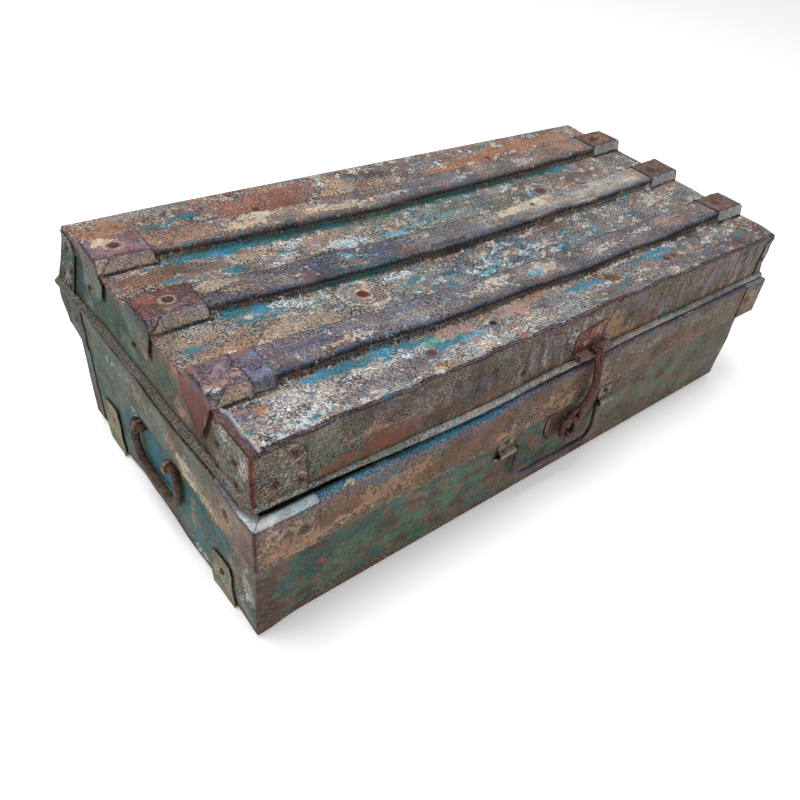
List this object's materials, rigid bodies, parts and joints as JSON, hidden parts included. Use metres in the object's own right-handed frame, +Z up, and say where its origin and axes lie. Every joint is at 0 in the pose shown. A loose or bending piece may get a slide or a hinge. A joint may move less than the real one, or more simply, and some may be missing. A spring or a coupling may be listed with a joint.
{
  "type": "metal trunk",
  "caption": "Low rectangular sheet-steel trunk with a ribbed hinged lid, riveted corner plates, a rim band, bail handles and a rod hasp over a staple.",
  "frame": {"origin": "on the floor under the middle of the box, level with the undersides of the skid caps", "axes": "+X along the trunk's length to its right end seen from the front, +Y to the back, +Z up"},
  "size_m": [0.617, 0.337, 0.21],
  "materials": {
    "lid_steel": "worn paint over rusted steel, matt",
    "base_paint": "worn green paint over rusted steel, matt",
    "band_paint": "worn tan and brown paint, matt",
    "ledge_paint": "worn pale blue paint, matt",
    "cap_rust": "rusted maroon, low sheen",
    "corner_steel": "worn grey-green, matt",
    "rust_plate": "rusted red-brown, matt",
    "hasp_rod": "rusted dark red rod",
    "handle_rod": "dark oxidised rod",
    "bracket_tan": "worn pale tan paint",
    "rivet_steel": "oxidised steel",
    "wire_steel": "bare worn wire"
  },
  "bodies": {
    "base": {"base_wrap": "base_paint", "base_end_left": "base_paint", "base_end_right": "base_paint", "rim_band": "band_paint", "rim_upstand": "base_paint", "band_corner_front_left": "ledge_paint", "band_corner_front_right": "ledge_paint", "band_corner_back_left": "ledge_paint", "band_corner_back_right": "ledge_paint", "skid_cap_front_left": "corner_steel", "skid_cap_front_right": "corner_steel", "skid_cap_back_left": "corner_steel", "skid_cap_back_right": "corner_steel", "skid_rivet_front_left": "rivet_steel", "skid_rivet_front_right": "rivet_steel", "skid_rivet_back_left": "rivet_steel", "skid_rivet_back_right": "rivet_steel", "front_bracket_left": "bracket_tan", "front_bracket_right": "bracket_tan", "bracket_rivet_left": "rivet_steel", "bracket_rivet_right": "rivet_steel", "staple_plate": "handle_rod", "staple": "hasp_rod", "hinge_lower_left": "rust_plate", "hinge_lower_right": "rust_plate", "hinge_pin_left": "handle_rod", "hinge_pin_right": "handle_rod", "left_eye_front": "bracket_tan", "left_eye_back": "bracket_tan", "right_eye_front": "bracket_tan", "right_eye_back": "bracket_tan"},
    "lid": {"lid_wrap": "lid_steel", "lid_end_left": "lid_steel", "lid_end_right": "lid_steel", "lid_wire_front": "wire_steel", "lid_wire_back": "wire_steel", "lid_wire_left": "wire_steel", "lid_wire_right": "wire_steel", "rib_cap_front_left": "cap_rust", "rib_cap_front_right": "cap_rust", "rib_cap_middle_left": "cap_rust", "rib_cap_middle_right": "cap_rust", "rib_cap_back_left": "cap_rust", "rib_cap_back_right": "cap_rust", "rib_splice_front_left": "cap_rust", "lid_corner_front_left": "corner_steel", "lid_corner_front_right": "corner_steel", "lid_corner_back_left": "corner_steel", "lid_corner_back_right": "corner_steel", "hinge_upper_left": "rust_plate", "hinge_upper_right": "rust_plate", "hasp_plate": "rust_plate", "hasp_pin": "handle_rod", "hasp_rivet_left": "rivet_steel", "hasp_rivet_right": "rivet_steel"},
    "hasp": {"hasp": "hasp_rod"},
    "front_handle": {"front_handle": "handle_rod"},
    "left_handle": {"left_handle": "handle_rod"},
    "right_handle": {"right_handle": "handle_rod"}
  },
  "joints": [
    {"name": "lid_hinge", "type": "hinge", "parent": "base", "child": "lid", "pos_m": [0, 0.1642, 0.147], "axis": [-1, 0, 0], "range_deg": [0, 105]},
    {"name": "hasp_swing", "type": "hinge", "parent": "lid", "child": "hasp", "pos_m": [0.014, -0.1608, 0.157], "axis": [-1, 0, 0], "range_deg": [0, 150]},
    {"name": "front_handle_swing", "type": "hinge", "parent": "base", "child": "front_handle", "pos_m": [0.0025, -0.15251, 0.07284], "axis": [-1, 0, 0], "range_deg": [0, 100]},
    {"name": "left_handle_swing", "type": "hinge", "parent": "base", "child": "left_handle", "pos_m": [-0.3018, 0, 0.082], "axis": [0, 1, 0], "range_deg": [0, 100]},
    {"name": "right_handle_swing", "type": "hinge", "parent": "base", "child": "right_handle", "pos_m": [0.3018, 0, 0.082], "axis": [0, -1, 0], "range_deg": [0, 100]}
  ]
}
